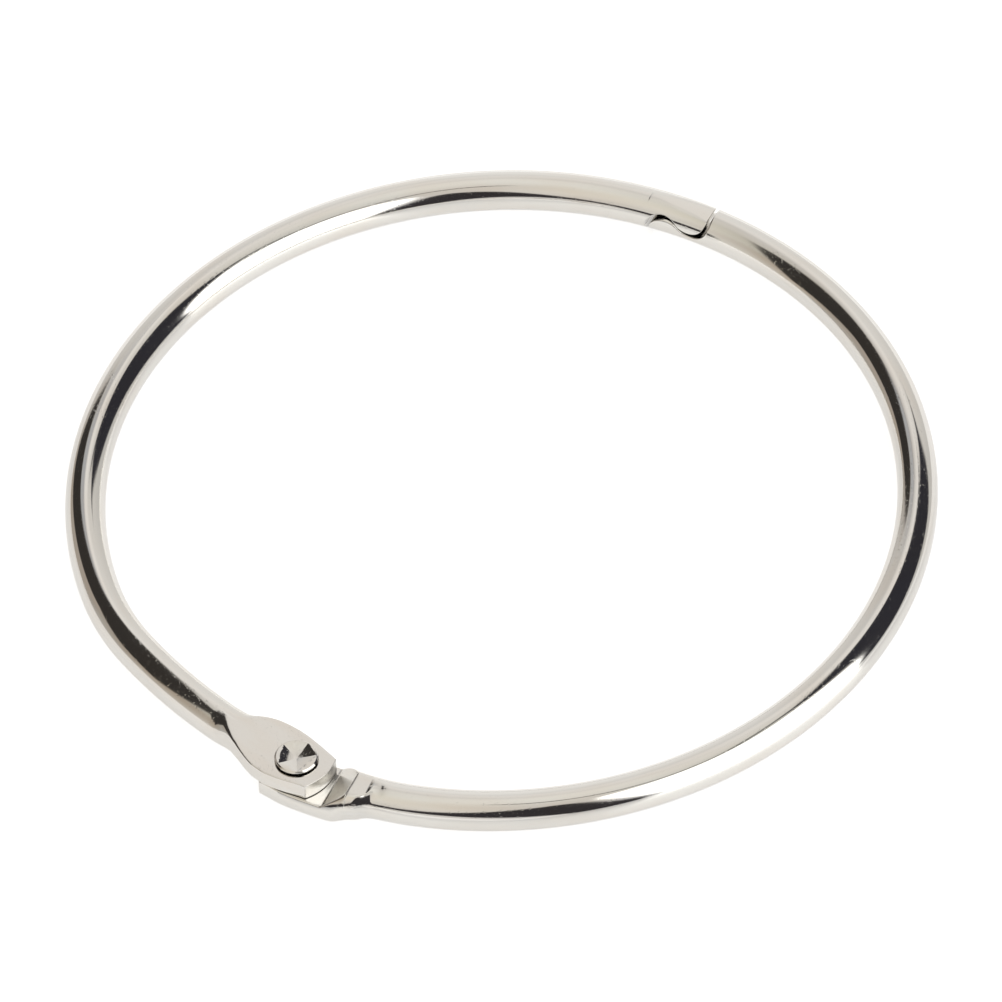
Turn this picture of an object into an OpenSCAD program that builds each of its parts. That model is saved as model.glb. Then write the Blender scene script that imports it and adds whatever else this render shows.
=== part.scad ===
// Hinged loose-leaf binder ring, lying flat and snapped shut.
// Two half rings of solid round wire are riveted together at the front, where their pressed ears lap
// half over half, and a tooth and a hook cut into their far ends snap over each other at the back.
// X runs across the ring, Y from the hinge to the catch, and Z up from the surface the ring lies on.
// The ring's centre is at X = 0 and Y = 0.

/* [Ring] */
// Inside diameter of the closed ring
inner_d = 76.2; // [55:0.1:115]
// Diameter of the wire
wire_d = 3.9; // [3:0.1:5]

/* [Ears] */
// How far each flat of an ear lies below the wire's surface
press_depth = 0.2; // [0.05:0.05:0.5]
// Height of the lap between the two ears, from the wire's centre
lap_height = 0; // [-0.6:0.05:0.6]
// Length over which each flat slopes up out of the wire
press_run = 1.5; // [0.5:0.1:4]
// Radius of the shoulders, where an ear is widest
shoulder_r = 8; // [2:0.5:12]
// Radius of the waist, where an ear's sides run into the wire
waist_r = 6; // [2:0.5:8]
// How much the long edges of an ear are eased
ear_edge = 0.1; // [0.05:0.01:0.3]

/* [Upper ear] */
// How far the upper ear's outer shoulder stands from its axis, before it is rounded
upper_outer_w = 3.6; // [3:0.1:4.5]
// How far the upper ear's inner shoulder stands from its axis, before it is rounded
upper_inner_w = 3.5; // [3:0.1:4.5]
// Distance from the rivet to the upper ear's shoulders
upper_shoulder = 2.9; // [1:0.1:4.5]
// Distance from the rivet to the upper ear's waist
upper_waist = 6.8; // [6:0.1:7.5]
// Width of the upper ear at its tip
upper_tip_w = 4.6; // [4:0.1:7]
// Distance from the rivet to the upper ear's rounded end
upper_reach = 3.75; // [3:0.05:5]
// Length of level lap under the upper half, past the end of the lower ear
upper_floor = 1.5; // [0:0.1:3]
// Length of the ramp under the upper half
upper_ramp = 6; // [2:0.1:8]

/* [Lower ear] */
// How far the lower ear's outer shoulder stands from its axis, before it is rounded
lower_outer_w = 3.5; // [2.8:0.1:4.5]
// How far the lower ear's inner side, which stays round, swells beyond the wire
lower_swell = 0.35; // [0.25:0.05:1]
// Distance from the rivet to the lower ear's shoulders
lower_shoulder = 4.3; // [1:0.1:4.5]
// Distance from the rivet to the lower ear's waist
lower_waist = 7.7; // [6:0.1:7.7]
// Width of the lower ear at its tip
lower_tip_w = 5.2; // [4:0.1:7]
// Distance from the rivet to the lower ear's rounded end
lower_reach = 3.4; // [3:0.05:5]
// Length of level lap on the lower half, past the end of the upper ear
lower_floor = 0; // [0:0.1:2]
// Length of the ramp on the lower half
lower_ramp = 2.5; // [1:0.1:6]

/* [Where the ears run into the wire] */
// Distance from the rivet to the end of the pressed part of either ear
ear_len = 8; // [8:0.1:12]

/* [Set of the wire at the hinge] */
// How far the rivet's axis stands in from the circle of the wire's centre
rivet_inset = 0.45; // [0:0.05:1]
// How far the lower ear stands out from the rivet's axis
lower_offset = 0.25; // [0:0.05:0.6]
// Angle of the upper ear to the line square to the rivet's radius
upper_heading = 12; // [8:0.5:14]
// Angle of the lower ear to the line square to the rivet's radius
lower_heading = 5; // [4:0.5:6]
// Radius of the flatter arc that runs into the upper ear
upper_neck_r = 60; // [50:1:90]
// Radius of the flatter arc that runs into the lower ear
lower_neck_r = 100; // [80:1:200]
// Radius of the bend between each flatter arc and the round of the ring
bend_r = 25; // [15:1:30]

/* [Rivet] */
// Diameter of the rivet's shank
shank_d = 2.4; // [1.6:0.1:3]
// Diameter of both heads
head_d = 4.1; // [3:0.1:5]
// Height of the upper head
upper_head_h = 0.45; // [0.3:0.05:0.8]
// Depth of the faceted dish that the setting punch leaves in the upper head
dish_depth = 0.35; // [0.1:0.05:0.6]
// Width of the level rim round the dish
dish_rim = 0.12; // [0.05:0.01:0.4]
// Number of facets in the dish
dish_facets = 6; // [4:1:10]
// Height of the lower head's straight rim
head_rim = 0.25; // [0.1:0.05:0.6]
// Height of the crown on the lower head
crown_h = 0.1; // [0.05:0.05:0.4]

/* [Catch] */
// Place of the catch round the ring, from +X towards +Y
catch_angle = 92.8; // [85:0.1:95]
// Radius of the tooth and of the hook
tooth_r = 1.88; // [1.2:0.02:2.2]
// How far the tooth and the hook each reach past the catch's middle height
tooth_reach = 0.54; // [0.35:0.01:0.9]
// Height of the catch's middle, from the wire's centre
catch_height = 0.45; // [-0.3:0.05:0.6]
// How far the closed tips stand apart, both along the wire and up, besides the gap
catch_play = 0.16; // [0:0.02:0.4]
// Depth of the flat on the upper tip at its end
tip_press = 0.25; // [0.05:0.01:0.4]
// Length over which that flat slopes down to the tip's end
tip_flat = 5.5; // [3:0.1:9]

/* [Clearances] */
// Gap between the tooth and the hook where they bear on each other
catch_gap = 0.14; // [0.1:0.02:0.3]
// Gap between the two ears where they lap
lap_gap = 0.14; // [0.1:0.02:0.25]
// Gap between the end of one ear and the foot of the other half's ramp
end_gap = 0.1; // [0.05:0.01:0.3]
// Radial gap between the shank and its holes
bore_gap = 0.06; // [0.02:0.01:0.1]
// Gap between the upper head and the upper ear
upper_head_gap = 0.02; // [0.01:0.01:0.1]
// Gap between the lower head and the lower ear
lower_head_gap = 0.08; // [0.05:0.01:0.2]

/* [Hidden] */
$fn = 96;

wire_r = wire_d / 2;
ring_r = inner_d / 2 + wire_r;
flat_z = wire_r - press_depth;

// Everything is measured from the wire's centre plane, which the lower head lifts off the surface
head_low_z = -flat_z - lower_head_gap - head_rim - crown_h;
lift = max(wire_r, -head_low_z);

rivet_y = rivet_inset - ring_r;
lower_inner_r = wire_r + lower_swell;
upper_lap_z = lap_height + lap_gap / 2;
lower_lap_z = lap_height - lap_gap / 2;

// Centres of the tooth's arc and of the hook's, along the wire and up, from the catch's middle
tooth_z = catch_height + tooth_r - tooth_reach;
hook_z = catch_height - tooth_r + tooth_reach;
tooth_u = sqrt(pow(tooth_r, 2) - pow(tooth_r - tooth_reach, 2));
catch_half = tooth_u + tooth_r;

colour = [0.78, 0.77, 0.74];
far = 20;
// Each stretch of wire is this much thinner than the one it runs into, and reaches this far inside it
hair = 0.01;
bury = 0.2;

function unit(angle) = [cos(angle), sin(angle)];
function angle_of(v) = atan2(v[1], v[0]);
function arc_angle(length, r) = length / r * 180 / PI;

// Centres of the neck's arc and of the bend for a half that leaves the hinge towards +X. The bend is
// tangent to the neck's arc and to the round of the ring, inside both.
function neck_start(foot, heading, straight) = foot + straight * unit(heading);
function neck_centre(foot, heading, straight, r) =
    neck_start(foot, heading, straight) + r * unit(heading + 90);
function bend_centre(c, neck_r) =
    let (a = ring_r - bend_r, b = neck_r - bend_r, d = norm(c))
    a * unit(angle_of(c) - acos((d * d + a * a - b * b) / (2 * d * a)));

// Points of the corner between three points, rounded to a radius. The way is +1 for a corner that
// turns left, and -1 for one that turns right.
function rounded(p, q, s, r, way, steps = 8) =
    let (
        u = (p - q) / norm(p - q),
        v = (s - q) / norm(s - q),
        half = acos(u * v) / 2,
        c = q + (u + v) / norm(u + v) * r / sin(half),
        start = angle_of(q + u * r / tan(half) - c),
        turn = (90 - half) * 2
    )
    [for (i = [0:steps]) c + r * unit(start + way * turn * i / steps)];

// Radius of an ear's round back where its walls stand this far from its axis
function back_r(side_w) = norm([side_w, flat_z]) - ear_edge;
function back_outline(reach, tip_w, shoulder, ear_w) =
    let (a = [-reach, back_r(tip_w / 2)], b = [shoulder, back_r(ear_w)], c = [ear_len, wire_r])
    concat([[-reach, 0], a], rounded(a, b, c, shoulder_r, -1), [c, [ear_len, 0]]);

// One side of an ear from its end to the wire: out to the shoulder, and in through the waist
function ear_side(reach, tip_w, shoulder, ear_w, waist) =
    let (a = [-reach, tip_w / 2], b = [shoulder, ear_w], c = [waist, wire_r], d = [ear_len, wire_r])
    concat([a], rounded(a, b, c, shoulder_r, -1), rounded(b, c, d, waist_r, 1), [d]);

// A stretch of round wire on an arc about a centre, from one angle to another
module wire_arc(centre, r, from, to, d) {
    translate([centre[0], centre[1], 0])
        rotate([0, 0, from])
            rotate_extrude(angle = to - from)
                translate([r, 0])
                    circle(d = d);
}

// The whole wire of one half, from its neck to its tip. Each stretch is a hair thinner than the next
// and ends just inside it.
module half_wire(foot, heading, straight, neck_r, tip_angle) {
    neck_c = neck_centre(foot, heading, straight, neck_r);
    bend_c = bend_centre(neck_c, neck_r);
    neck_end = angle_of(bend_c - neck_c);
    bend_end = angle_of(bend_c);
    wire_arc(neck_c, neck_r, heading - 90 - arc_angle(bury, neck_r), neck_end + arc_angle(bury, neck_r),
        wire_d - 2 * hair);
    wire_arc(bend_c, bend_r, neck_end, bend_end + arc_angle(bury, bend_r), wire_d - hair);
    wire_arc([0, 0], ring_r, bend_end, tip_angle, wire_d);
}

// An ear's upright walls as a flat outline, and the round back that eases their long edges
module ear(foot, heading, reach, tip_w, shoulder, outer_w, inner_w, waist) {
    outer = ear_side(reach, tip_w, shoulder, outer_w, waist);
    inner = ear_side(reach, tip_w, shoulder, inner_w, waist);
    back = back_outline(reach, tip_w, shoulder, max(outer_w, inner_w));
    intersection() {
        translate([foot[0], foot[1], 0])
            rotate([0, 0, heading])
                intersection() {
                    translate([0, 0, -far / 2])
                        linear_extrude(far)
                            union() {
                                polygon(concat([for (p = outer) [p[0], -p[1]]], [[ear_len, 0], [-reach, 0]]));
                                polygon(concat(inner, [[ear_len, 0], [-reach, 0]]));
                            }
                    rotate([0, 90, 0])
                        rotate_extrude()
                            polygon([for (p = back) [p[1], p[0]]]);
                }
        rounded_end(reach, heading);
    }
}

// What is taken off the inner side of the lower ear, past its round
module round_inner_cut(foot, heading) {
    outline = [[-far, 0], [-far, lower_inner_r], [lower_shoulder, lower_inner_r], [ear_len, wire_r],
        [far, wire_r], [far, 0]];
    translate([foot[0], foot[1], 0])
        rotate([0, 0, heading])
            difference() {
                translate([-far / 2, 0, -far / 2])
                    cube([far / 2 + ear_len, far, far]);
                rotate([0, 90, 0])
                    rotate_extrude()
                        polygon([for (p = outline) [p[1], p[0]]]);
            }
}

// What is kept of an ear: all of it towards the wire, and a round end about the rivet
module rounded_end(reach, heading) {
    translate([0, rivet_y, -far / 2]) {
        cylinder(r = reach, h = far);
        rotate([0, 0, heading])
            translate([0, -far / 2, 0])
                cube([far, far, far]);
    }
}

// What is cut away above a half's lap: level over the other ear, then up a ramp out of the wire
module lap_cut(lap_z, heading, foot, ramp_len) {
    ramp = [[-far, lap_z], [foot, lap_z], [foot + ramp_len, wire_r + hair], [foot + ramp_len, far],
        [-far, far]];
    across(heading)
        polygon(ramp);
}

// What the press takes off the top: flat over the ear, then sloping up out of the wire
module press_cut(heading) {
    slope = [[-far, flat_z], [ear_len, flat_z], [ear_len + press_run, wire_r + hair],
        [ear_len + press_run, far], [-far, far]];
    across(heading)
        polygon(slope);
}

// A flat shape drawn along an ear and up, made solid right across the ear
module across(heading) {
    translate([0, rivet_y, 0])
        rotate([0, 0, heading])
            translate([0, far / 2, 0])
                rotate([90, 0, 0])
                    linear_extrude(far)
                        children();
}

// The side of the catch that the upper tip fills, along the wire and up, held off the middle line
module catch_side(inset) {
    top = far / 2;
    tip = tooth_u + tooth_r - inset;
    translate([-tooth_u, tooth_z])
        circle(r = tooth_r - inset);
    translate([-tip, tooth_z])
        square([tip + far, top]);
    translate([catch_half + inset, -top])
        square([far, 2 * top]);
    difference() {
        translate([0, hook_z])
            square([far, top]);
        translate([tooth_u, hook_z])
            circle(r = tooth_r + inset);
    }
}

// What the catch takes off a tip: all that lies past that tip's own side of the middle line. Turned
// half round, the same shape cuts the lower tip. Half of the play moves each tip off the middle.
module catch_cut(turned) {
    window = catch_half + 4;
    rotate([0, 0, catch_angle])
        translate([ring_r - wire_d, 0, 0])
            rotate([90, 0, 90])
                linear_extrude(2 * wire_d)
                    translate([0, turned ? 2 * catch_height : 0])
                        rotate(turned ? 180 : 0)
                            translate([catch_play / 2, catch_play / 2])
                                difference() {
                                    translate([-window, -2 * wire_d])
                                        square([window + catch_half + catch_gap, 4 * wire_d]);
                                    catch_side(catch_gap / 2);
                                }
}

// The flat on top of the upper tip, sloping down to the tip's end
module tip_flat_cut() {
    rotate([0, 0, catch_angle])
        translate([ring_r - wire_d, -catch_half, wire_r - tip_press])
            rotate([atan(tip_press / tip_flat), 0, 0])
                translate([0, -wire_d, 0])
                    cube([2 * wire_d, wire_d + 2 * tip_flat, wire_d]);
}

module shank_hole() {
    translate([0, rivet_y, -far / 2])
        cylinder(d = shank_d + 2 * bore_gap, h = far);
}

module half_ring_upper_ear() {
    foot = [0, rivet_y];
    ramp_foot = lower_reach + end_gap + upper_floor;
    tip_angle = 180 - catch_angle + arc_angle(catch_half + 1, ring_r);
    color(colour)
        translate([0, 0, lift])
            difference() {
                mirror([1, 0, 0])
                    difference() {
                        union() {
                            half_wire(foot, upper_heading, ear_len, upper_neck_r, tip_angle);
                            ear(foot, upper_heading, upper_reach, upper_tip_w, upper_shoulder, upper_outer_w,
                                upper_inner_w, upper_waist);
                        }
                        press_cut(upper_heading);
                        mirror([0, 0, 1]) {
                            press_cut(upper_heading);
                            lap_cut(-upper_lap_z, upper_heading, ramp_foot, upper_ramp);
                        }
                    }
                shank_hole();
                catch_cut(false);
                tip_flat_cut();
            }
}

module half_ring_lower_ear() {
    foot = [0, rivet_y - lower_offset];
    ramp_foot = upper_reach + end_gap + lower_floor;
    tip_angle = catch_angle + arc_angle(catch_half + 1, ring_r);
    color(colour)
        translate([0, 0, lift])
            difference() {
                union() {
                    half_wire(foot, lower_heading, ear_len, lower_neck_r, tip_angle);
                    difference() {
                        ear(foot, lower_heading, lower_reach, lower_tip_w, lower_shoulder, lower_outer_w,
                            lower_outer_w, lower_waist);
                        round_inner_cut(foot, lower_heading);
                    }
                }
                press_cut(lower_heading);
                lap_cut(lower_lap_z, lower_heading, ramp_foot, lower_ramp);
                mirror([0, 0, 1])
                    press_cut(lower_heading);
                shank_hole();
                catch_cut(true);
            }
}

module hinge_rivet() {
    shank_low = -flat_z - lower_head_gap;
    shank_high = flat_z + upper_head_gap;
    color([0.7, 0.69, 0.67])
        translate([0, rivet_y, lift]) {
            translate([0, 0, shank_low - head_rim])
                cylinder(d = head_d, h = head_rim);
            translate([0, 0, head_low_z])
                cylinder(d1 = shank_d, d2 = head_d, h = crown_h);
            difference() {
                union() {
                    translate([0, 0, shank_low - head_rim])
                        cylinder(d = shank_d, h = shank_high - shank_low + head_rim + hair);
                    translate([0, 0, shank_high])
                        cylinder(d = head_d, h = upper_head_h);
                }
                translate([0, 0, shank_high + upper_head_h - dish_depth])
                    cylinder(d1 = 0, d2 = 2 * (head_d - 2 * dish_rim), h = 2 * dish_depth, $fn = dish_facets);
            }
        }
}

half_ring_upper_ear();
half_ring_lower_ear();
hinge_rivet();
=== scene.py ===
import bpy
import math
import numpy as np
from mathutils import Matrix, Vector


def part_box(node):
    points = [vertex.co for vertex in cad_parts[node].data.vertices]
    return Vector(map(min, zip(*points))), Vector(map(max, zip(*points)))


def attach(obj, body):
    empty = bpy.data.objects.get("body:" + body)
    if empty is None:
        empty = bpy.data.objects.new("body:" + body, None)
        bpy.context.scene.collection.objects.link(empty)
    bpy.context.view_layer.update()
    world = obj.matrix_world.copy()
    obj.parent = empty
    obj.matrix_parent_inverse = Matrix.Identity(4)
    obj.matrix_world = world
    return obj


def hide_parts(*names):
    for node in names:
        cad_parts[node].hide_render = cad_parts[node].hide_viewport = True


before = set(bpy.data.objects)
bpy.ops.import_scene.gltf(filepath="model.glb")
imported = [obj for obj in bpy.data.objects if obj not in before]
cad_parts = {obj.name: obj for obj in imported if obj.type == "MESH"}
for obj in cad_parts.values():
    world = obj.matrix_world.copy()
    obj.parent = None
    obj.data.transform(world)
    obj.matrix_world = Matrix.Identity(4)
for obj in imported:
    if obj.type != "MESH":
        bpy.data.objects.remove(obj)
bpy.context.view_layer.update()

# ---------------------------------------------------------------------------------------------
# Camera. A long lens well back from the ring, looking down on it from the hinge's side, as for a
# catalogue. Sizes here and below are in millimetres and degrees, and MM makes them metres.
# ---------------------------------------------------------------------------------------------
MM = 0.001
wire_height = 2.18
view_turn = math.radians(31.4)
view_rise = math.radians(48.14)
view_roll = math.radians(-2.85)
view_distance = 1673
aim_left = 0.03
aim_down = 0.54

view_back = Vector((math.sin(view_turn) * math.cos(view_rise),
                    -math.cos(view_turn) * math.cos(view_rise), math.sin(view_rise)))
view_level = Vector((math.cos(view_turn), math.sin(view_turn), 0))
view_upright = view_back.cross(view_level)
view_right = math.cos(view_roll) * view_level + math.sin(view_roll) * view_upright
view_up = -math.sin(view_roll) * view_level + math.cos(view_roll) * view_upright

lens = bpy.data.cameras.new("camera")
lens.sensor_width = 36
lens.lens = 625
lens.clip_end = 20
camera = bpy.data.objects.new("camera", lens)
bpy.context.scene.collection.objects.link(camera)
view_aim = (Vector((0, 0, wire_height)) - view_right * aim_left - view_up * aim_down) * MM
camera.matrix_world = (Matrix.Translation(view_aim + view_back * (view_distance * MM))
                       @ Matrix((view_right, view_up, view_back)).transposed().to_4x4())
bpy.context.scene.camera = camera

# ---------------------------------------------------------------------------------------------
# Studio. A white sweep under the ring, a pale tent all round it, one bright softbox to the right,
# and dark flags that give the bright metal its black reflections.
# ---------------------------------------------------------------------------------------------
bpy.context.scene.view_settings.view_transform = "Standard"


def seen_way(turn, rise):
    # The way to a place that is seen from the ring this many degrees to the right of straight away
    # from the camera, and this many degrees up
    heading = view_turn - math.radians(turn)
    climb = math.radians(rise)
    return Vector((-math.sin(heading) * math.cos(climb), math.cos(heading) * math.cos(climb),
                   math.sin(climb)))


tent = bpy.data.worlds.new("tent")
bpy.context.scene.world = tent
tent.use_nodes = True
tent_tree = tent.node_tree
tent_way = tent_tree.nodes.new("ShaderNodeTexCoord").outputs["Generated"]
tent_tone = tent_tree.nodes.new("ShaderNodeRGB").outputs[0]
tent_tone.default_value = (0.80, 0.797, 0.785, 1)
# The cloth is darker or paler in broad soft patches: where each is seen, half its width, and its tone
tent_patches = (
    (0, 90, 60, (-0.145, -0.16, -0.165)),
    (0, 30, 60, (0.15, 0.137, 0.123)),
    (-60, 25, 60, (-0.36, -0.38, -0.39)),
    (60, 25, 60, (-0.21, -0.225, -0.24)),
    (130, 35, 60, (-0.15, -0.13, -0.11)),
    (-120, 30, 60, (0, -0.01, -0.05)),
    (180, 35, 60, (-0.10, -0.135, -0.14)),
    (180, 75, 60, (0.23, 0.225, 0.185)),
    (-20, 46, 25, (-0.09, -0.085, -0.08)),
    (-104, 18, 30, (-0.09, -0.125, -0.14)),
    (2, 48, 12, (0.12, 0.11, 0.10)),
)
for turn, rise, half_width, tone in tent_patches:
    toward = tent_tree.nodes.new("ShaderNodeVectorMath")
    toward.operation = "DOT_PRODUCT"
    toward.inputs[1].default_value = seen_way(turn, rise)
    tent_tree.links.new(tent_way, toward.inputs[0])
    patch = tent_tree.nodes.new("ShaderNodeMapRange")
    patch.interpolation_type = "SMOOTHSTEP"
    patch.inputs["From Min"].default_value = math.cos(math.radians(half_width))
    tent_tree.links.new(toward.outputs["Value"], patch.inputs["Value"])
    dyed = tent_tree.nodes.new("ShaderNodeVectorMath")
    dyed.operation = "MULTIPLY_ADD"
    dyed.inputs[1].default_value = tone
    tent_tree.links.new(patch.outputs[0], dyed.inputs[0])
    tent_tree.links.new(tent_tone, dyed.inputs[2])
    tent_tone = dyed.outputs[0]
tent_tree.links.new(tent_tone, tent_tree.nodes["Background"].inputs["Color"])


def studio_card(name, reach, soft, colour, strength, corners):
    # A card on a stand, this many millimetres from the ring. Its corners run anticlockwise as seen
    # from the ring, as places to the right and up, and its edge fades over this many degrees.
    count = len(corners)
    edge = []
    for n in range(count):
        before, here, after = corners[n - 1], corners[n], corners[(n + 1) % count]
        # Degrees to the right are shorter high up, and a sharp corner isn't drawn out into a spike
        squeeze = math.cos(math.radians(min(abs(here[1]), 80)))
        first = Vector(((here[0] - before[0]) * squeeze, here[1] - before[1])).normalized()
        second = Vector(((after[0] - here[0]) * squeeze, after[1] - here[1])).normalized()
        outward = Vector((first[1] + second[1], -first[0] - second[0])).normalized()
        spread = soft / 2 / max(outward.dot((first[1], -first[0])), 0.6)
        edge.append((here, outward[0] / squeeze * spread, outward[1] * spread))
    ring_middle = Vector((0, 0, wire_height * MM))
    points = []
    for way in (-1, 1):
        for here, right, up in edge:
            points.append(ring_middle + seen_way(here[0] + way * right, here[1] + way * up) * reach * MM)
    mesh = bpy.data.meshes.new(name)
    rim = [(n, (n + 1) % count, (n + 1) % count + count, n + count) for n in range(count)]
    mesh.from_pydata(points, [], [tuple(range(count))] + rim)
    cover = mesh.attributes.new("cover", "FLOAT", "POINT")
    cover.data.foreach_set("value", [1.0] * count + [0.0] * count)
    card = bpy.data.objects.new(name, mesh)
    bpy.context.scene.collection.objects.link(card)
    paint = bpy.data.materials.new(name)
    paint.use_nodes = True
    tree = paint.node_tree
    tree.nodes.clear()
    glow = tree.nodes.new("ShaderNodeEmission")
    glow.inputs["Color"].default_value = (*colour, 1)
    glow.inputs["Strength"].default_value = strength
    covered = tree.nodes.new("ShaderNodeAttribute")
    covered.attribute_name = "cover"
    faded = tree.nodes.new("ShaderNodeMixShader")
    tree.links.new(covered.outputs["Fac"], faded.inputs[0])
    tree.links.new(tree.nodes.new("ShaderNodeBsdfTransparent").outputs[0], faded.inputs[1])
    tree.links.new(glow.outputs[0], faded.inputs[2])
    tree.links.new(faded.outputs[0], tree.nodes.new("ShaderNodeOutputMaterial").inputs[0])
    mesh.materials.append(paint)
    card.visible_camera = False
    card.visible_diffuse = False
    card.visible_shadow = False


studio_card("left_back_haze", reach=440, soft=10, colour=(0.42, 0.37, 0.32), strength=1, corners=[
    (-50, -6), (-40, 2), (-30, 24), (-38, 38), (-60, 45), (-78, 45), (-76, 20), (-72, 6), (-62, -6),
])
studio_card("left_back_shade", reach=430, soft=5, colour=(0.45, 0.45, 0.46), strength=1, corners=[
    (-22, 36), (-10, 44), (-14, 50), (-26, 50), (-34, 48), (-30, 39),
])
studio_card("left_back_flag", reach=400, soft=2, colour=(0.038, 0.034, 0.031), strength=1, corners=[
    (-31, 22), (-25, 31), (-27, 35.5), (-31, 41), (-29, 44.5), (-24, 48.5), (-18, 50.5), (-13, 50.8),
    (-14, 52.5), (-20, 55.5), (-32, 59), (-45, 62), (-56, 63.3), (-66, 62.5), (-76, 59.5), (-86, 54.5),
    (-92, 48), (-95.5, 41), (-97.5, 34), (-98, 26), (-97, 15), (-88, 18), (-80, 22), (-70, 27),
    (-62, 21), (-56, 17), (-50, 12), (-46, 9), (-41, 8.5), (-36, 14),
])
studio_card("right_back_flag", reach=400, soft=2, colour=(0.030, 0.029, 0.036), strength=1, corners=[
    (34, 35), (41, 30), (47, 23.5), (53, 18), (59, 13.5), (64, 11.5), (75, 8), (84, 5.5), (93, 6.5),
    (97, 11), (93, 20), (90, 30), (85, 41), (81, 50), (76, 57), (72, 64), (60, 63.5), (50, 62),
    (40, 60), (31, 58), (27, 54), (25, 49.5), (15, 46.8), (24, 46), (28.5, 42), (29, 35),
])
studio_card("softbox_hem", reach=405, soft=2, colour=(0.12, 0.12, 0.11), strength=1, corners=[
    (66, 62), (76, 63.5), (100, 63), (120, 66), (138, 69.5), (150, 73), (178, 75), (193, 75.5),
    (193, 78), (172, 78), (148, 76), (135, 72.5), (120, 69), (100, 66), (75, 66.5), (58, 64.5),
])
studio_card("right_softbox", reach=420, soft=1.5, colour=(1, 1, 0.98), strength=1.8, corners=[
    (98, -3), (146, -3), (149, 2), (153, 14), (157, 32), (159, 48), (156, 58), (140, 63.5), (127, 64),
    (115, 62.5), (100, 61), (82, 58), (84, 50), (87, 42), (91, 28), (95, 16), (98, 2),
])
studio_card("camera_flag", reach=400, soft=2.5, colour=(0.036, 0.032, 0.035), strength=1, corners=[
    (166, -3), (170, 2), (176, 5), (186, 8), (195, 9), (205, 8), (220, 3), (232, 0), (239, -2),
    (239, 13), (232, 13), (220, 14.5), (208, 16.5), (201, 20.5), (196, 26), (190, 33.5), (185, 39.5),
    (180, 45.5), (174, 50), (169, 52.5), (165, 50), (162, 42), (160, 30), (157, 18), (152.5, 8),
    (152.5, -3),
])

sheet_reach = 3000 * MM
sweep_mesh = bpy.data.meshes.new("white_sweep")
sweep_mesh.from_pydata([(-sheet_reach, -sheet_reach, 0), (sheet_reach, -sheet_reach, 0),
                        (sheet_reach, sheet_reach, 0), (-sheet_reach, sheet_reach, 0)], [],
                       [(0, 1, 2, 3)])
sweep = bpy.data.objects.new("white_sweep", sweep_mesh)
bpy.context.scene.collection.objects.link(sweep)
acrylic = bpy.data.materials.new("white_acrylic")
acrylic.use_nodes = True
sheet = acrylic.node_tree.nodes["Principled BSDF"]
sheet.inputs["Base Color"].default_value = (0.88, 0.89, 0.91, 1)
sheet.inputs["Roughness"].default_value = 0.12
# The sheet glows a little for the camera and for reflections, so that it reads as white and keeps
# only the deepest part of the ring's shadow
ray = acrylic.node_tree.nodes.new("ShaderNodeLightPath")
sheet_glow = None
for kind, glow_strength in (("Is Camera Ray", 0.6), ("Is Glossy Ray", 0.36),
                            ("Is Transmission Ray", 0.36)):
    added = acrylic.node_tree.nodes.new("ShaderNodeMath")
    added.operation = "MULTIPLY_ADD"
    acrylic.node_tree.links.new(ray.outputs[kind], added.inputs[0])
    added.inputs[1].default_value = glow_strength
    added.inputs[2].default_value = 0.0
    if sheet_glow:
        acrylic.node_tree.links.new(sheet_glow, added.inputs[2])
    sheet_glow = added.outputs[0]
sheet.inputs["Emission Color"].default_value = (1, 1, 1, 1)
acrylic.node_tree.links.new(sheet_glow, sheet.inputs["Emission Strength"])
sweep_mesh.materials.append(acrylic)

# ---------------------------------------------------------------------------------------------
# The half with the upper ear. One length of hard-drawn steel wire, bent to a half circle, one end
# pressed to a flat ear and holed for the rivet, the other cut to a downward tooth, then all of it
# nickel-plated bright.
# ---------------------------------------------------------------------------------------------
wire_radius = 1.95
flat_height = 1.75
bore_radius = 1.26
# A wall this far out or more doesn't touch the wire's round
open_wall = 3.4
lower_ear_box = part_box("half_ring_lower_ear")
rivet_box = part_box("hinge_rivet")
ring_radius = lower_ear_box[1][0] / MM - wire_radius
rivet_y = (rivet_box[0][1] + rivet_box[1][1]) / 2 / MM
catch_turn = math.radians(92.8)
catch_height = 0.45


def worked_out(tree, operation, *values):
    # A sum done in a node tree, from numbers and from other nodes' results
    node = tree.nodes.new("ShaderNodeMath")
    node.operation = operation
    for socket, value in zip(node.inputs, values):
        if isinstance(value, (int, float)):
            socket.default_value = value
        else:
            tree.links.new(value, socket)
    return node.outputs[0]


def mottled(tree, place, stretch, detail=2.0):
    # Uneven grey, with this many spots to the millimetre along, across and up the wire
    squeezed = tree.nodes.new("ShaderNodeMapping")
    squeezed.inputs["Scale"].default_value = stretch
    tree.links.new(place, squeezed.inputs["Vector"])
    noise = tree.nodes.new("ShaderNodeTexNoise")
    noise.inputs["Scale"].default_value = 1.0
    noise.inputs["Detail"].default_value = detail
    tree.links.new(squeezed.outputs[0], noise.inputs["Vector"])
    return noise.outputs[0]


def ramped(tree, value, low, high):
    # 0 below the first limit and 1 above the second, with a soft step between
    step = tree.nodes.new("ShaderNodeMapRange")
    step.interpolation_type = "SMOOTHSTEP"
    step.inputs["From Min"].default_value = low
    step.inputs["From Max"].default_value = high
    tree.links.new(value, step.inputs["Value"])
    return step.outputs[0]


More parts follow.
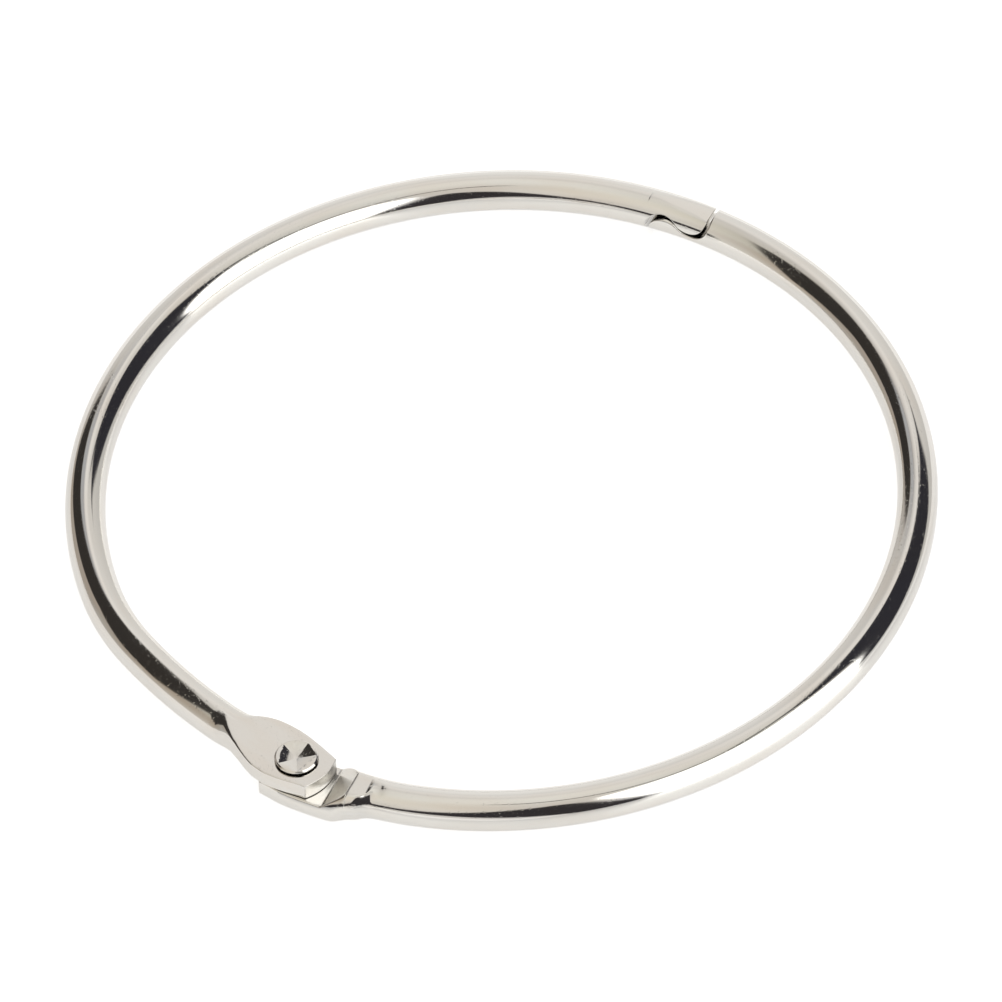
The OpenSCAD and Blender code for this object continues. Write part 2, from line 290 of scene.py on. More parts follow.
def nickel_plate(name, colour, warm_colour, roughness, draw_depth, pit_depth, dull):
    # Bright nickel over steel: a mirror with faint draw lines, small pits, fine scratches from
    # handling and a slightly warmer tint where the plating is thin. Depths are in millimetres, and
    # dull is how much rougher the sheared and stamped faces are than the drawn skin.
    plate = bpy.data.materials.new(name)
    plate.use_nodes = True
    tree = plate.node_tree
    metal = tree.nodes["Principled BSDF"]
    metal.inputs["Metallic"].default_value = 1
    draw = tree.nodes.new("ShaderNodeAttribute")
    draw.attribute_name = "draw"
    place = draw.outputs["Vector"]
    tint = tree.nodes.new("ShaderNodeMix")
    tint.data_type = "RGBA"
    tint.inputs["A"].default_value = (*colour, 1)
    tint.inputs["B"].default_value = (*warm_colour, 1)
    thin = ramped(tree, mottled(tree, place, (0.12, 0.5, 0.5)), 0.4, 0.72)
    tree.links.new(thin, tint.inputs["Factor"])
    tree.links.new(tint.outputs["Result"], metal.inputs["Base Color"])

    lines = mottled(tree, place, (0.12, 5.0, 5.0), 3.0)
    waves = mottled(tree, place, (0.05, 0.9, 0.9), 1.0)
    pits = ramped(tree, mottled(tree, place, (3.0, 5.0, 5.0), 1.0), 0.60, 0.74)
    pitted_parts = ramped(tree, mottled(tree, place, (0.16, 0.3, 0.3), 1.0), 0.42, 0.62)
    pits = worked_out(tree, "MULTIPLY", pits, pitted_parts)
    slanted = tree.nodes.new("ShaderNodeVectorRotate")
    slanted.inputs["Angle"].default_value = 0.5
    slanted.inputs["Axis"].default_value = (0.3, 0.6, 1)
    tree.links.new(place, slanted.inputs["Vector"])
    scratches = ramped(tree, mottled(tree, slanted.outputs[0], (0.5, 9.0, 9.0), 1.0), 0.68, 0.76)

    wave_depth = draw_depth * 5
    scratch_depth = pit_depth * 0.25
    height = worked_out(tree, "MULTIPLY", lines, draw_depth)
    height = worked_out(tree, "MULTIPLY_ADD", waves, wave_depth, height)
    height = worked_out(tree, "MULTIPLY_ADD", pits, -pit_depth, height)
    height = worked_out(tree, "MULTIPLY_ADD", scratches, -scratch_depth, height)
    relief = tree.nodes.new("ShaderNodeBump")
    relief.inputs["Strength"].default_value = 1.0
    relief.inputs["Distance"].default_value = MM
    tree.links.new(height, relief.inputs["Height"])
    tree.links.new(relief.outputs[0], metal.inputs["Normal"])

    line_rough = 0.04
    scratch_rough = 0.12
    pit_rough = 0.08
    rough = worked_out(tree, "MULTIPLY_ADD", lines, line_rough, roughness)
    rough = worked_out(tree, "MULTIPLY_ADD", scratches, scratch_rough, rough)
    rough = worked_out(tree, "MULTIPLY_ADD", pits, pit_rough, rough)
    if dull:
        stamped = tree.nodes.new("ShaderNodeAttribute")
        stamped.attribute_name = "stamped"
        rough = worked_out(tree, "MULTIPLY_ADD", stamped.outputs["Fac"], dull, rough)
    tree.links.new(rough, metal.inputs["Roughness"])
    return plate


wire_nickel = nickel_plate("wire_nickel", colour=(0.80, 0.787, 0.757), warm_colour=(0.79, 0.76, 0.715),
                           roughness=0.06, draw_depth=0.0006, pit_depth=0.0035, dull=0.25)


def blended(tree, share, low, high):
    # low where the share is 0, and high where it is 1
    return worked_out(tree, "MULTIPLY_ADD", share, worked_out(tree, "SUBTRACT", high, low), low)


def carried(tree, name, kind="FLOAT"):
    # A size that the centre line's points carry
    node = tree.nodes.new("GeometryNodeInputNamedAttribute")
    node.data_type = kind
    node.inputs["Name"].default_value = name
    return node.outputs[0]


def moved(tree, start, way, distance):
    # A point moved this many millimetres along a direction
    step = tree.nodes.new("ShaderNodeVectorMath")
    step.operation = "SCALE"
    tree.links.new(way, step.inputs[0])
    tree.links.new(worked_out(tree, "MULTIPLY", distance, MM), step.inputs["Scale"])
    total = tree.nodes.new("ShaderNodeVectorMath")
    tree.links.new(start, total.inputs[0])
    tree.links.new(step.outputs[0], total.inputs[1])
    return total.outputs[0]


# The wire's skin. A hoop of points is swept along the centre line, and at each place it takes the
# shape of the wire's round, cut by four walls with eased edges.
points_round = 160
skin = bpy.data.node_groups.new("pressed_wire", "GeometryNodeTree")
skin.interface.new_socket("Centre line", in_out="INPUT", socket_type="NodeSocketGeometry")
for label, kind, value in (("Points round", "NodeSocketInt", points_round),
                           ("Other hand", "NodeSocketBool", False),
                           ("Rivet hole radius", "NodeSocketFloat", 0.001),
                           ("Rivet hole place", "NodeSocketVector", (0, 0, 0)),
                           ("Plating", "NodeSocketMaterial", None)):
    socket = skin.interface.new_socket(label, in_out="INPUT", socket_type=kind)
    if value is not None:
        socket.default_value = value
skin.interface.new_socket("Skin", in_out="OUTPUT", socket_type="NodeSocketGeometry")
given = skin.nodes.new("NodeGroupInput")
line = skin.nodes.new("GeometryNodeMeshToCurve")
skin.links.new(given.outputs["Centre line"], line.inputs["Mesh"])
hoop = skin.nodes.new("GeometryNodeCurvePrimitiveCircle")
hoop.inputs["Radius"].default_value = MM
skin.links.new(given.outputs["Points round"], hoop.inputs["Resolution"])
numbered = skin.nodes.new("GeometryNodeStoreNamedAttribute")
numbered.data_type = "FLOAT"
numbered.inputs["Name"].default_value = "turn"
skin.links.new(hoop.outputs[0], numbered.inputs["Geometry"])
turn_step = worked_out(skin, "DIVIDE", math.tau, given.outputs["Points round"])
point_number = skin.nodes.new("GeometryNodeInputIndex").outputs[0]
skin.links.new(worked_out(skin, "MULTIPLY", point_number, turn_step), numbered.inputs["Value"])
swept = skin.nodes.new("GeometryNodeCurveToMesh")
swept.inputs["Fill Caps"].default_value = True
skin.links.new(line.outputs[0], swept.inputs["Curve"])
skin.links.new(numbered.outputs[0], swept.inputs["Profile Curve"])

# The direction of each point from the middle of its section. Points crowd together at the edges.
point_turn = carried(skin, "turn")
wave = worked_out(skin, "SINE", worked_out(skin, "MULTIPLY", point_turn, 4.0))
crowd = worked_out(skin, "MULTIPLY", carried(skin, "crowding"), 0.25)
point_turn = worked_out(skin, "MULTIPLY_ADD", crowd, wave, point_turn)
run = worked_out(skin, "MULTIPLY", worked_out(skin, "COSINE", point_turn), carried(skin, "aspect"))
climb = worked_out(skin, "SINE", point_turn)
span = worked_out(skin, "MULTIPLY_ADD", run, run, worked_out(skin, "MULTIPLY", climb, climb))
span = worked_out(skin, "SQRT", span)
out_part = worked_out(skin, "DIVIDE", run, span)
up_part = worked_out(skin, "DIVIDE", climb, span)

# How near each wall is in that direction, as one over the distance
mid_out = carried(skin, "mid_out")
mid_up = carried(skin, "mid_up")
outer_room = worked_out(skin, "SUBTRACT", carried(skin, "outer"), mid_out)
outer_near = worked_out(skin, "DIVIDE", out_part, outer_room)
inner_room = worked_out(skin, "ADD", carried(skin, "inner"), mid_out)
inner_near = worked_out(skin, "DIVIDE", worked_out(skin, "MULTIPLY", out_part, -1.0), inner_room)
top_room = worked_out(skin, "SUBTRACT", carried(skin, "top"), mid_up)
top_near = worked_out(skin, "DIVIDE", up_part, top_room)
low_room = worked_out(skin, "SUBTRACT", carried(skin, "bottom"), mid_up)
low_near = worked_out(skin, "DIVIDE", up_part, low_room)
walls = (outer_near, inner_near, top_near, low_near)

# How near the round is. Its radius differs between the section's four quarters, and on the outer
# side its middle can lie off the wire's own.
quarter_blend = 0.35
above = ramped(skin, up_part, -quarter_blend, quarter_blend)
outer_round = blended(skin, above, carried(skin, "round_outer_low"), carried(skin, "round_outer_top"))
inner_round = blended(skin, above, carried(skin, "round_inner_low"), carried(skin, "round_inner_top"))
outer_side = worked_out(skin, "GREATER_THAN", out_part, 0.0)
round_here = blended(skin, outer_side, inner_round, outer_round)
# From the round's middle to the section's, and from there on to the round along the direction
from_out = worked_out(skin, "MULTIPLY", outer_side, carried(skin, "flank_out"))
from_out = worked_out(skin, "SUBTRACT", mid_out, from_out)
from_up = worked_out(skin, "MULTIPLY", outer_side, carried(skin, "flank_up"))
from_up = worked_out(skin, "SUBTRACT", mid_up, from_up)
back = worked_out(skin, "MULTIPLY", from_out, out_part)
back = worked_out(skin, "MULTIPLY", worked_out(skin, "MULTIPLY_ADD", from_up, up_part, back), -1.0)
off = worked_out(skin, "MULTIPLY_ADD", from_out, from_out, worked_out(skin, "MULTIPLY", from_up, from_up))
inside = worked_out(skin, "MULTIPLY", round_here, round_here)
inside = worked_out(skin, "MULTIPLY_ADD", back, back, inside)
inside = worked_out(skin, "MAXIMUM", worked_out(skin, "SUBTRACT", inside, off), 0.0001)
round_far = worked_out(skin, "ADD", back, worked_out(skin, "SQRT", inside))
round_near = worked_out(skin, "DIVIDE", 1.0, round_far)

# The nearest of them sets the skin, and the edges between them are eased, less so the crisper they are
nearest = round_near
for near in walls:
    nearest = worked_out(skin, "MAXIMUM", nearest, near)
crisp = carried(skin, "crisp")
total = worked_out(skin, "POWER", worked_out(skin, "DIVIDE", round_near, nearest), crisp)
for near in walls:
    share = worked_out(skin, "DIVIDE", worked_out(skin, "MAXIMUM", near, 0.0), nearest)
    total = worked_out(skin, "ADD", total, worked_out(skin, "POWER", share, crisp))
easing = worked_out(skin, "POWER", total, worked_out(skin, "DIVIDE", 1.0, crisp))
reach = worked_out(skin, "DIVIDE", carried(skin, "shrink"), worked_out(skin, "MULTIPLY", nearest, easing))
side_way = worked_out(skin, "MULTIPLY_ADD", reach, out_part, mid_out)
height = worked_out(skin, "MULTIPLY_ADD", reach, up_part, mid_up)
bowed = worked_out(skin, "SUBTRACT", side_way, carried(skin, "bow_mid"))
onward = worked_out(skin, "MULTIPLY", worked_out(skin, "MULTIPLY", bowed, bowed), carried(skin, "bow"))
upright = skin.nodes.new("ShaderNodeCombineXYZ")
upright.inputs["Z"].default_value = 1.0
place = moved(skin, carried(skin, "middle", "FLOAT_VECTOR"), carried(skin, "across", "FLOAT_VECTOR"),
              side_way)
place = moved(skin, place, carried(skin, "ahead", "FLOAT_VECTOR"), onward)
place = moved(skin, place, upright.outputs[0], height)

# The draw of the wire, which the plating's fine lines follow: distance along it, across it and up
draw = skin.nodes.new("ShaderNodeCombineXYZ")
skin.links.new(carried(skin, "along"), draw.inputs["X"])
skin.links.new(side_way, draw.inputs["Y"])
skin.links.new(height, draw.inputs["Z"])
drawn = skin.nodes.new("GeometryNodeStoreNamedAttribute")
drawn.data_type = "FLOAT_VECTOR"
drawn.inputs["Name"].default_value = "draw"
skin.links.new(swept.outputs[0], drawn.inputs["Geometry"])
skin.links.new(draw.outputs[0], drawn.inputs["Value"])
# Where the skin was sheared all over or stamped on its top, which leaves it duller than the drawn wire
flat_only = 60.0
on_top = worked_out(skin, "DIVIDE", worked_out(skin, "MAXIMUM", top_near, 0.0), nearest)
on_top = worked_out(skin, "POWER", on_top, flat_only)
dulled = worked_out(skin, "MULTIPLY_ADD", carried(skin, "duller_top"), on_top, carried(skin, "duller"))
pressed = skin.nodes.new("GeometryNodeStoreNamedAttribute")
pressed.data_type = "FLOAT"
pressed.inputs["Name"].default_value = "stamped"
skin.links.new(drawn.outputs[0], pressed.inputs["Geometry"])
skin.links.new(dulled, pressed.inputs["Value"])
shaped = skin.nodes.new("GeometryNodeSetPosition")
skin.links.new(pressed.outputs[0], shaped.inputs["Geometry"])
skin.links.new(place, shaped.inputs["Position"])
merged = skin.nodes.new("GeometryNodeMergeByDistance")
merged.inputs["Distance"].default_value = 0.0005 * MM
skin.links.new(shaped.outputs[0], merged.inputs["Geometry"])
# The other half is bent the other way round, which turns its skin inside out, so it is turned back
facing = skin.nodes.new("GeometryNodeFlipFaces")
skin.links.new(merged.outputs[0], facing.inputs["Mesh"])
skin.links.new(given.outputs["Other hand"], facing.inputs["Selection"])
punch = skin.nodes.new("GeometryNodeMeshCylinder")
punch.inputs["Vertices"].default_value = 64
punch.inputs["Depth"].default_value = 12 * MM
skin.links.new(given.outputs["Rivet hole radius"], punch.inputs["Radius"])
set_down = skin.nodes.new("GeometryNodeTransform")
skin.links.new(punch.outputs["Mesh"], set_down.inputs["Geometry"])
skin.links.new(given.outputs["Rivet hole place"], set_down.inputs["Translation"])
punched = skin.nodes.new("GeometryNodeMeshBoolean")
punched.operation = "DIFFERENCE"
punched.solver = "MANIFOLD"
skin.links.new(facing.outputs[0], punched.inputs[0])
skin.links.new(set_down.outputs[0], punched.inputs[1])
smooth = skin.nodes.new("GeometryNodeSetShadeSmooth")
skin.links.new(punched.outputs[0], smooth.inputs["Geometry"])
realized = skin.nodes.new("GeometryNodeRealizeInstances")
skin.links.new(smooth.outputs[0], realized.inputs[0])
plated = skin.nodes.new("GeometryNodeSetMaterial")
skin.links.new(realized.outputs[0], plated.inputs["Geometry"])
skin.links.new(given.outputs["Plating"], plated.inputs["Material"])
skin.links.new(plated.outputs[0], skin.nodes.new("NodeGroupOutput").inputs[0])


def eased(places, points, soft=0.25):
    # A size along the wire: straight lines through the points, their corners eased over a short length
    stops, sizes = zip(*points)
    weights = (1, 2, 3, 4, 5, 4, 3, 2, 1)
    total = 0
    for n, weight in enumerate(weights):
        total = total + weight * np.interp(places + soft * (n - 4) / 4, stops, sizes)
    return total / sum(weights)


def spaced(*runs):
    # Places along the wire, from runs that each have a start, an end and a step
    found = [np.arange(start, end - gap / 4, gap) for start, end, gap in runs]
    return np.append(np.concatenate(found), runs[-1][1])


def wire_line(places, foot_y, heading, neck_radius):
    # The centre line at these distances from the rivet, for a half that leaves it towards +X: straight
    # through the ear, then round a flat neck and a tighter bend into the ring. The last result is the
    # distance at which the ring's own arc would start from +X.
    straight = 8.0
    bend_radius = 25.0
    way = np.array([math.cos(heading), math.sin(heading)])
    foot = np.array([0, foot_y])
    neck = foot + straight * way + neck_radius * np.array([-way[1], way[0]])
    # The bend's middle lies where it touches both the ring's arc and the neck's
    to_neck = math.hypot(neck[0], neck[1])
    from_ring = ring_radius - bend_radius
    from_neck = neck_radius - bend_radius
    corner = math.acos((to_neck ** 2 + from_ring ** 2 - from_neck ** 2) / (2 * to_neck * from_ring))
    bend_end = math.atan2(neck[1], neck[0]) - corner
    bend = from_ring * np.array([math.cos(bend_end), math.sin(bend_end)])
    neck_start = heading - math.pi / 2
    neck_end = math.atan2(bend[1] - neck[1], bend[0] - neck[0])
    to_bend = straight + neck_radius * (neck_end - neck_start)
    to_ring = to_bend + bend_radius * (bend_end - neck_end)
    angle = np.full(len(places), neck_start)
    spot = foot + np.outer(places, way)
    arcs = ((neck, neck_radius, straight, neck_start), (bend, bend_radius, to_bend, neck_end),
            (np.zeros(2), ring_radius, to_ring, bend_end))
    for centre, radius, start, first in arcs:
        on = places >= start
        angle[on] = first + (places[on] - start) / radius
        spot[on] = centre + radius * np.column_stack([np.cos(angle[on]), np.sin(angle[on])])
    return spot, angle, to_ring - bend_end * ring_radius


def catch_line():
    # The upper tip's underside, as distances towards its end and heights: up the back of the notch,
    # over the other tip's hook, down round the tooth and up its end
    radius = 1.88
    dip = 0.54
    play = 0.30
    fit = 0.06
    steps = 46
    rise = radius - dip
    half = math.sqrt(radius ** 2 - rise ** 2)
    notch = (half + play / 2, catch_height - rise + play / 2, radius + fit / 2)
    tooth = (-half + play / 2, catch_height + rise + play / 2, radius - fit / 2)
    meet = math.atan2(tooth[1] - notch[1], tooth[0] - notch[0])
    found = []
    for (back, high, curve), start, end in ((notch, 0, meet), (tooth, meet - math.pi, -math.pi)):
        for turned in np.linspace(start, end, steps):
            found.append((-(back + curve * math.cos(turned)), high + curve * math.sin(turned)))
    return np.delete(np.array(found), steps, 0)


def wire_half(name, side, foot_y, heading, neck_radius, ear_end, ear, tooth_down):
    # Side is 1 for the half that leaves the hinge towards +X and -1 for the other, and the ear's sizes
    # are functions of the place along the wire. The tooth's tip is pressed to a slight slope on top.
    tip_pressed = 16
    tip_slope = 0.0455
    tip_end = 3.02
    tip_end_top = 1.70
    thinnest = 0.12
    lead_in = 6
    square_cut = 14
    catch_reach = 4
    ring_start = wire_line(np.zeros(1), foot_y, heading, neck_radius)[2]
    catch_angle = catch_turn if side > 0 else math.pi - catch_turn
    catch_place = ring_start + ring_radius * catch_angle
    notch = catch_line()
    back = notch[0, 0]
    # Sections lie closest at the ear's end, where the lower ear's ramp and flat end, and at the catch
    plain = spaced((ear_end + 0.03, ear_end + 0.2, 0.05), (ear_end + 0.2, 6.0, 0.1), (6.0, 6.4, 0.03),
                   (6.4, 7.6, 0.1), (7.6, 8.2, 0.04), (8.2, 11.6, 0.1), (11.6, 20, 0.3),
                   (20, catch_place - lead_in, 0.5))
    places = np.concatenate([np.full(6, ear_end), plain,
                             catch_place + spaced((0.1 - lead_in, back, 0.15)),
                             catch_place + notch[:, 0]])
    count = len(places)
    first = count - len(notch)
    past = places - catch_place
    spot, angle, _ = wire_line(places, foot_y, heading, neck_radius)
    # The catch is cut square across the wire, so its sections stand parallel
    near = np.abs(past) < square_cut
    out_way = np.array([math.cos(catch_angle), math.sin(catch_angle)])
    on_way = np.array([-out_way[1], out_way[0]])
    from_middle = np.sqrt(ring_radius ** 2 - past[near] ** 2)
    spot[near] = np.outer(from_middle, out_way) + np.outer(past[near], on_way)
    turned = np.clip((np.abs(past[near]) - catch_reach) / (square_cut - catch_reach), 0, 1)
    angle[near] = catch_angle + np.arcsin(past[near] / ring_radius) * turned

    sizes = {label: np.array(size(places)) * np.ones(count) for label, size in ear.items()}
    if tooth_down:
        sloped = tip_end_top + (tip_end - past) * tip_slope
        sizes["top"] = np.where(past > -tip_pressed, np.minimum(sizes["top"], sloped), sizes["top"])
        sizes["bottom"][first:] = notch[:, 1]
    else:
        sizes["top"][first:] = 2 * catch_height - notch[:, 1]
    # Each section's middle, and its width to its height. A tip ends where it gets too thin to hold.
    high = np.minimum(sizes["top"], wire_radius)
    low = np.maximum(sizes["bottom"], -wire_radius)
    kept = high - low > thinnest
    kept[:first] = True
    mid_up = (high + low) / 2
    half_up = np.maximum((high - low) / 2, thinnest / 2)
    out_most = np.sqrt(np.maximum(sizes["round_outer_top"] ** 2 - (mid_up - sizes["flank_up"]) ** 2, 0.1))
    out_most = np.minimum(sizes["outer"], sizes["flank_out"] + out_most)
    in_most = np.sqrt(np.maximum(sizes["round_inner_top"] ** 2 - mid_up ** 2, 0.1))
    in_most = np.minimum(sizes["inner"], in_most)
    mid_out = (out_most - in_most) / 2
    aspect = (out_most + in_most) / 2 / half_up
    lead = np.clip((past + lead_in) / (lead_in + back), 0, 1)
    before = (past > -lead_in) & (np.arange(count) < first)
    for values, plain_value in ((mid_up, 0), (mid_out, 0), (aspect, 1)):
        values[before] = plain_value + (values[first] - plain_value) * lead[before]
    sizes["mid_up"] = mid_up
    sizes["mid_out"] = mid_out
    sizes["aspect"] = aspect
    sizes["along"] = places
    # Along the ear the points crowd together at the edges, and on the plain wire they lie evenly
    sizes["crowding"] = 0.7 * np.clip((9 - places) / 3, 0, 1)
    # Both ends are closed by sections that shrink to a point
    sizes["shrink"] = np.ones(count)
    sizes["shrink"][:7] = (0.01, 0.3, 0.6, 0.85, 0.94, 0.975, 0.993)
    rows = np.concatenate([np.flatnonzero(kept), np.repeat(np.flatnonzero(kept)[-1], 3)])
    sizes = {label: values[rows] for label, values in sizes.items()}
    sizes["shrink"][-3:] = (0.9, 0.4, 0.01)

    chain = bpy.data.meshes.new(name)
    angle = angle[rows]
    level = np.zeros(len(rows))
    middle = np.column_stack([spot[rows, 0] * side, spot[rows, 1], level + wire_height]) * MM
    across = np.column_stack([np.cos(angle) * side, np.sin(angle), level])
    ahead = np.column_stack([-np.sin(angle) * side, np.cos(angle), level])
    chain.from_pydata(middle.tolist(), [(n, n + 1) for n in range(len(rows) - 1)], [])
    for label, values in (("middle", middle), ("across", across), ("ahead", ahead)):
        chain.attributes.new(label, "FLOAT_VECTOR", "POINT").data.foreach_set("vector", values.ravel())
    for label, values in sizes.items():
        chain.attributes.new(label, "FLOAT", "POINT").data.foreach_set("value", values)
    half = bpy.data.objects.new(name, chain)
    bpy.context.scene.collection.objects.link(half)
    sweep_on = half.modifiers.new("skin", "NODES")
    sweep_on.node_group = skin
    sockets = {item.name: item.identifier for item in skin.interface.items_tree if item.in_out == "INPUT"}
    sweep_on[sockets["Points round"]] = points_round
    sweep_on[sockets["Other hand"]] = side > 0
    sweep_on[sockets["Rivet hole radius"]] = bore_radius * MM
    sweep_on[sockets["Rivet hole place"]] = (0, rivet_y * MM, wire_height * MM)
    sweep_on[sockets["Plating"]] = wire_nickel
    graph = bpy.context.evaluated_depsgraph_get()
    mesh = bpy.data.meshes.new_from_object(half.evaluated_get(graph))
    half.modifiers.clear()
    half.data = mesh
    mesh.name = name
    for spare in [a.name for a in mesh.attributes if a.data_type in ("FLOAT", "FLOAT_VECTOR")]:
        if spare not in ("position", "draw", "stamped"):
            mesh.attributes.remove(mesh.attributes[spare])
    return half


def end_bow(t, radius):
    # The ear's end is cut to an arc of this radius, and its sections bow more and more towards it
    bow_start = 1.5
    bow_length = 4.88
    return np.clip((bow_start - t) / bow_length, 0, 1) / (2 * radius)


# The sizes along the ear, each as places from the rivet towards the wire and what it is there: the four
# walls, the round's radius in each quarter and how far the outer round's middle lies off the wire's, how
# crisp the edges are, how dull the skin is, and how its sections bow
upper_half = wire_half("wire_half_upper_ear", -1, rivet_y, math.radians(12), 60, -3.38, {
    "outer": lambda t: eased(t, [
        (-4, 2.02), (-2.8, 2.29), (-1.5, 2.73), (-0.6, 2.98), (0.5, 3.2), (1.45, 3.34), (2.9, 3.29),
        (4, 3.03), (4.93, 2.72), (5.78, 2.40), (6.8, 2.05), (7.6, 1.96), (9, 2.2), (11, open_wall)]),
    "inner": lambda t: eased(t, [
        (-4, 2.3), (-2.8, 2.5), (-1.2, 2.72), (0.1, 2.85), (1, 2.92), (2.14, 2.94), (3.24, 2.84),
        (4.42, 2.65), (6.0, 2.2), (7.0, 1.97), (8, 2.05), (9.5, 2.6), (11, open_wall)]),
    "top": lambda t: eased(t, [
        (2.0, flat_height), (10.0, wire_radius), (12.5, 2.2), (15, open_wall)], 1.2),
    "bottom": lambda t: eased(t, [
        (5.0, 0.04), (7.2, -0.45), (8.3, -0.8), (11.2, -wire_radius), (13, -2.3), (16, -open_wall)], 0.3),
    "round_outer_top": lambda t: eased(t, [
        (3.0, 3.9), (4.11, 3.53), (5.38, 3.2), (6.33, 2.92), (7.23, 2.53), (8.3, 2.16), (9.01, 2.0),
        (9.8, wire_radius)], 0.3),
    "round_outer_low": lambda t: eased(t, [
        (3.0, 3.9), (4.0, 3.45), (4.93, 3.11), (5.78, 2.77), (6.6, 2.3), (7.4, 2.05),
        (8.2, wire_radius)]),
    "round_inner_top": lambda t: eased(t, [
        (3.0, 3.9), (4.1, 3.4), (5.26, 3.02), (6.08, 2.65), (6.81, 2.27), (7.4, 2.06), (8.31, 1.98),
        (9.3, wire_radius)]),
    "round_inner_low": lambda t: eased(t, [
        (3.0, 3.9), (3.5, 3.5), (4.42, 3.1), (6.0, 2.52), (7.0, 2.12), (7.8, 1.97), (8.4, wire_radius)]),
    "flank_out": lambda t: 0,
    "flank_up": lambda t: 0,
    "crisp": lambda t: eased(t, [(4, 40), (6, 20)]),
    "duller": lambda t: np.clip((-3.3 - t) / 0.05, 0, 1),
    "duller_top": lambda t: 0,
    "bow": lambda t: end_bow(t, 5.2),
    "bow_mid": lambda t: -0.17,
}, tooth_down=True)
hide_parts("half_ring_upper_ear")
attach(upper_half, "upper_half")

# ---------------------------------------------------------------------------------------------
# The half with the lower ear. The same wire, bent the other way round, with its ear pressed below
# the middle behind a ramp, and its free end cut to the upward hook that the tooth drops over.
# ---------------------------------------------------------------------------------------------
lap_gap = 0.12
ramp_end = 7


def lower_outline(t):
    # How far the ear reaches outwards at its widest
    return eased(t, [
        (-3.4, 2.45), (-2.4, 2.65), (-1, 2.95), (0, 3.05), (2, 3.15), (5, 3.22), (6.3, 3.16),
        (7.1, 2.9), (7.75, 2.35), (8.3, 2.02), (8.8, wire_radius)], 0.3)


def lower_flank(t):
    # The ear's outer flank keeps the wire's roundness, which the press has only flattened somewhat
    return eased(t, [
        (3.5, 2.0), (5, 2.3), (6.2, 2.85), (7.5, 2.65), (8.3, 2.1), (9.0, wire_radius)], 0.4)


def lower_top(t):
    # The ear lies half a lap gap below the middle. A ramp climbs from its end to the pressed flat,
    # with a small step at the ramp's top, and the flat ends in a sharp rise to the wire.
    ramp = eased(t, [
        (3.84, -lap_gap / 2), (6.12, 1.70), (6.19, 1.62), (6.28, flat_height)], 0.03)
    rise = eased(t, [
        (7.8, flat_height), (8.05, 1.86), (9.0, wire_radius), (9.8, 2.3), (11, open_wall)], 0.08)
    return np.where(t < ramp_end, ramp, rise)


def lower_inner_round(t):
    # The inner side's roundness, alike above and below
    return eased(t, [(4.3, 2.3), (6, 1.97), (7, wire_radius)])


lower_half = wire_half("wire_half_lower_ear", 1, rivet_y - 0.25, math.radians(5), 100, -3.4, {
    "outer": lambda t: open_wall + 2,
    "inner": lambda t: eased(t, [
        (4.3, 2.3), (6, 2.1), (7, 2.0), (8, 2.1), (9.5, 2.6), (11, open_wall)]),
    "top": lower_top,
    "bottom": lambda t: eased(t, [
        (7.6, -flat_height), (9.3, -wire_radius), (10.5, -2.3), (12, -open_wall)]),
    "round_outer_top": lower_flank,
    "round_outer_low": lambda t: eased(t, [
        (3.5, 2.0), (5, 2.3), (6.5, 2.2), (7.5, 2.1), (8.3, 1.98), (9, wire_radius)]),
    "round_inner_top": lower_inner_round,
    "round_inner_low": lower_inner_round,
    "flank_out": lambda t: lower_outline(t) - lower_flank(t),
    "flank_up": lambda t: eased(t, [
        (3.5, -1.0), (5, -0.75), (6.2, -0.5), (7.5, -0.3), (8.6, -0.1), (9.4, 0)], 0.5),
    "crisp": lambda t: 30,
    "duller": lambda t: 0,
    "duller_top": lambda t: eased(t, [(2.6, 0), (3.2, 0.3), (6.1, 0.3), (6.2, 0)], 0.1),
    "bow": lambda t: end_bow(t, 4.5),
    "bow_mid": lambda t: 0.1,
}, tooth_down=False)
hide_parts("half_ring_lower_ear")
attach(lower_half, "lower_half")

# ---------------------------------------------------------------------------------------------
# The rivet. A solid steel pin through both ears. The setting punch has left a shallow dish of six
# uneven facets in its upper head, and its lower head is a plain low button. Nickel-plated.
# ---------------------------------------------------------------------------------------------
rivet_nickel = nickel_plate("rivet_nickel", colour=(0.79, 0.775, 0.745), warm_colour=(0.76, 0.73, 0.68),
                            roughness=0.08, draw_depth=0.0006, pit_depth=0.003, dull=0)
pin_radius = 1.2
head_radius = 2.1
head_height = 0.45
dish_radius = 1.93
dish_depth = 0.31
dish_turn = 31.4
facet_turns = (0, 53, 97, 127, 204, 270, 360)
upper_gap = 0.02
lower_gap = 0.08
low_head_height = 0.35
head_foot = flat_height + upper_gap
head_top = head_foot + head_height
low_foot = -flat_height - lower_gap
low_crown = low_foot - low_head_height

# The points round the rivet stand about 5 degrees apart, each with the two spokes of its facet
turns = []
for spoke, next_spoke in zip(facet_turns, facet_turns[1:]):
    start = dish_turn + spoke
    end = dish_turn + next_spoke
    steps = round((end - start) / 5)
    turns.extend((start + (end - start) * n / steps, start, end) for n in range(steps))
rings = []
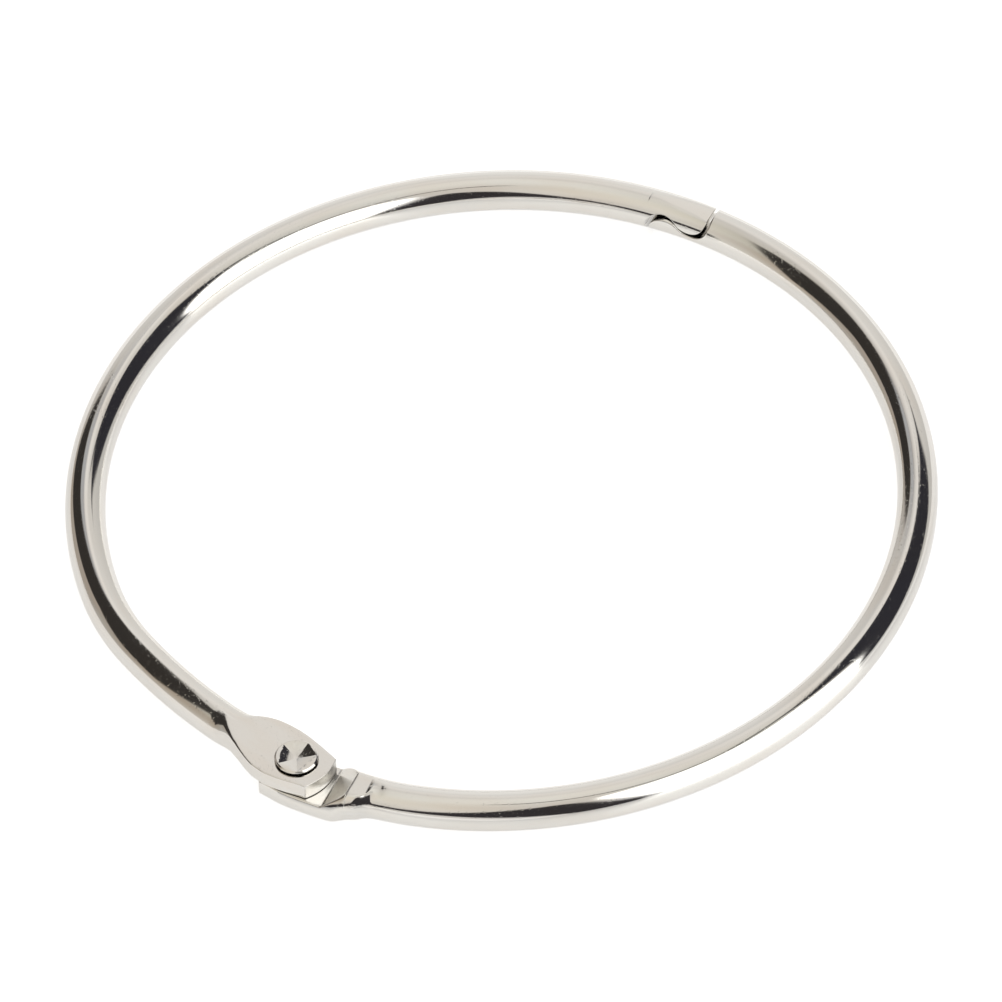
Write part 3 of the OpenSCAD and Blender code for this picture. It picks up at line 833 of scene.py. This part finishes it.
# Down in the dish each facet runs between two spokes, and is steeper towards the rim
for share in (0.12, 0.25, 0.4, 0.55, 0.7, 0.82, 0.9, 0.95, 0.98, 1.0):
    ring = []
    for turned, start, end in turns:
        half_facet = math.radians(end - start) / 2
        from_mid = math.radians(turned) - math.radians(start + end) / 2
        out = math.cos(from_mid) / math.cos(half_facet) * share
        above_floor = dish_depth * out * (0.25 + 0.75 * out)
        ring.append((turned, dish_radius * share, head_top + min(above_floor - dish_depth, 0)))
    rings.append(ring)
# Over the rounded rim, and in under the head's edge to the pin
for inset, drop in ((0.155, 0.005), (0.14, 0.02), (0.07, 0.07), (0.025, 0.12), (0.005, 0.17),
                    (0, 0.2), (0.01, 0.23), (0.03, 0.25), (0.62, 0.27), (0.66, 0.3),
                    (0.68, head_height - 0.005)):
    rings.append([(turned, head_radius - inset, head_top - drop) for turned, _, _ in turns])
# Down the pin and round the lower head
for radius, level in ((pin_radius, head_foot), (pin_radius, low_foot), (head_radius - 0.03, low_foot),
                      (head_radius, low_foot - 0.03), (head_radius, low_foot - 0.22),
                      (head_radius - 0.06, low_foot - 0.29), (1.6, low_foot - 0.34), (0.8, low_crown)):
    rings.append([(turned, radius, level) for turned, _, _ in turns])
points = [(0, rivet_y, wire_height + head_top - dish_depth)]
for ring in rings:
    for turned, radius, level in ring:
        round_pin = math.radians(turned)
        points.append((radius * math.cos(round_pin), rivet_y + radius * math.sin(round_pin),
                       wire_height + level))
points.append((0, rivet_y, wire_height + low_crown))
count = len(turns)
last_ring = 1 + (len(rings) - 1) * count
faces = []
for n in range(count):
    m = (n + 1) % count
    faces.append((0, 1 + n, 1 + m))
    for upper_ring in range(1, last_ring, count):
        lower_ring = upper_ring + count
        faces.append((upper_ring + n, lower_ring + n, lower_ring + m, upper_ring + m))
    faces.append((last_ring + n, len(points) - 1, last_ring + m))
rivet_mesh = bpy.data.meshes.new("rivet")
rivet_mesh.from_pydata([(x * MM, y * MM, z * MM) for x, y, z in points], [], faces)
rivet_draw = rivet_mesh.attributes.new("draw", "FLOAT_VECTOR", "POINT")
rivet_draw.data.foreach_set("vector", [size for x, y, z in points for size in (z, x, y)])
rivet_mesh.polygons.foreach_set("use_smooth", [True] * len(faces))
rivet_mesh.materials.append(rivet_nickel)
rivet_mesh.set_sharp_from_angle(angle=math.radians(9))
rivet = bpy.data.objects.new("rivet", rivet_mesh)
bpy.context.scene.collection.objects.link(rivet)
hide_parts("hinge_rivet")
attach(rivet, "rivet")
